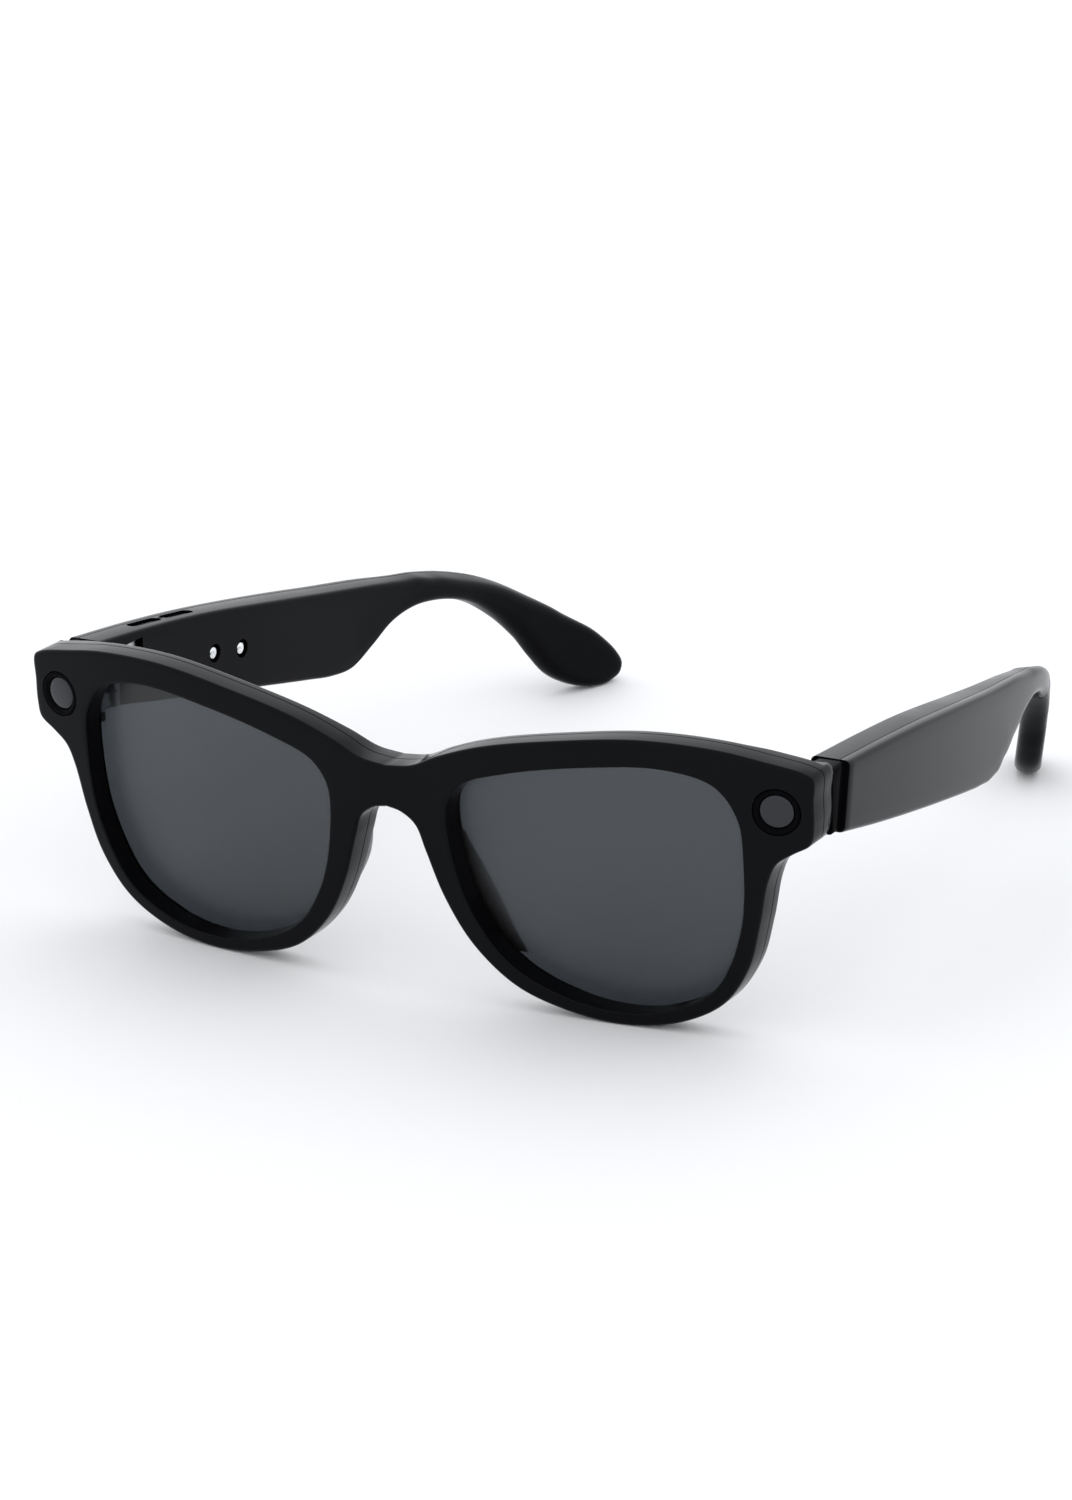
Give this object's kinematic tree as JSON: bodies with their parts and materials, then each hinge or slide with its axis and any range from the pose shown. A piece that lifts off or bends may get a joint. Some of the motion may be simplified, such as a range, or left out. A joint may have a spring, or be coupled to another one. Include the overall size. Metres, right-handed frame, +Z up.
{
  "type": "smart glasses",
  "caption": "Smart sunglasses with a camera and a light in the endpieces, dark lenses, folding temples with electronics inside, two keys and charging contacts.",
  "frame": {"origin": "under the middle of the whole object's bounding box, on the surface the open glasses stand on", "axes": "+Z up; -Y is the way the lenses face; +X is the wearer's left"},
  "size_m": [0.15, 0.1735, 0.0524],
  "materials": {
    "gloss_frame": "satin-gloss black moulded plastic",
    "black_trim": "polished black",
    "soft_pad": "satin black",
    "tinted_lens": "dark neutral grey tint",
    "dark_glass": "black glass window",
    "hinge_steel": "fine brushed",
    "contact_metal": "bright plated",
    "metal_can": "plain foil and shield can",
    "board": "green circuit board",
    "flex": "amber flexible circuit"
  },
  "bodies": {
    "front": {"front_frame": "gloss_frame", "rear_frame": "gloss_frame", "flex_cable": "flex", "nose_microphone": "metal_can", "camera_ring": "black_trim", "camera_window": "dark_glass", "light_ring": "black_trim", "light_window": "dark_glass", "camera_lens": "dark_glass", "camera_module": "metal_can", "light_board": "board", "lens_right": "tinted_lens", "nose_pad_right": "soft_pad", "hinge_leaf_front_right": "hinge_steel", "hinge_pin_right": "hinge_steel", "lens_left": "tinted_lens", "nose_pad_left": "soft_pad", "hinge_leaf_front_left": "hinge_steel", "hinge_pin_left": "hinge_steel"},
    "temple_right": {"temple_shell_right": "gloss_frame", "temple_cover_right": "gloss_frame", "temple_end_cap_right": "black_trim", "hinge_leaf_temple_right": "hinge_steel", "battery_right": "metal_can", "speaker_right": "black_trim", "speaker_mesh_right": "hinge_steel", "touch_flex_right": "flex", "key_switch_front": "hinge_steel", "key_switch_rear": "hinge_steel", "charging_contact_front": "contact_metal", "charging_contact_rear": "contact_metal", "status_light": "dark_glass", "main_board": "board"},
    "temple_left": {"temple_shell_left": "gloss_frame", "temple_cover_left": "gloss_frame", "temple_end_cap_left": "black_trim", "hinge_leaf_temple_left": "hinge_steel", "battery_left": "metal_can", "speaker_left": "black_trim", "speaker_mesh_left": "hinge_steel", "touch_flex_left": "flex", "support_board": "board"},
    "front_key": {"key_front": "black_trim"},
    "rear_key": {"key_rear": "black_trim"}
  },
  "joints": [
    {"name": "temple_right_fold", "type": "hinge", "parent": "front", "child": "temple_right", "pos_m": [-0.0655, -0.06765, 0.0417], "axis": [0, 0, -1], "range_deg": [0, 86]},
    {"name": "temple_left_fold", "type": "hinge", "parent": "front", "child": "temple_left", "pos_m": [0.0655, -0.06765, 0.0417], "axis": [0, 0, 1], "range_deg": [0, 74]},
    {"name": "front_key_press", "type": "slide", "parent": "temple_right", "child": "front_key", "axis": [0, 0, -1], "range_m": [0, 0.0004], "stiffness_N_per_m": 300},
    {"name": "rear_key_press", "type": "slide", "parent": "temple_right", "child": "rear_key", "axis": [0, 0, -1], "range_m": [0, 0.0004], "stiffness_N_per_m": 300}
  ]
}
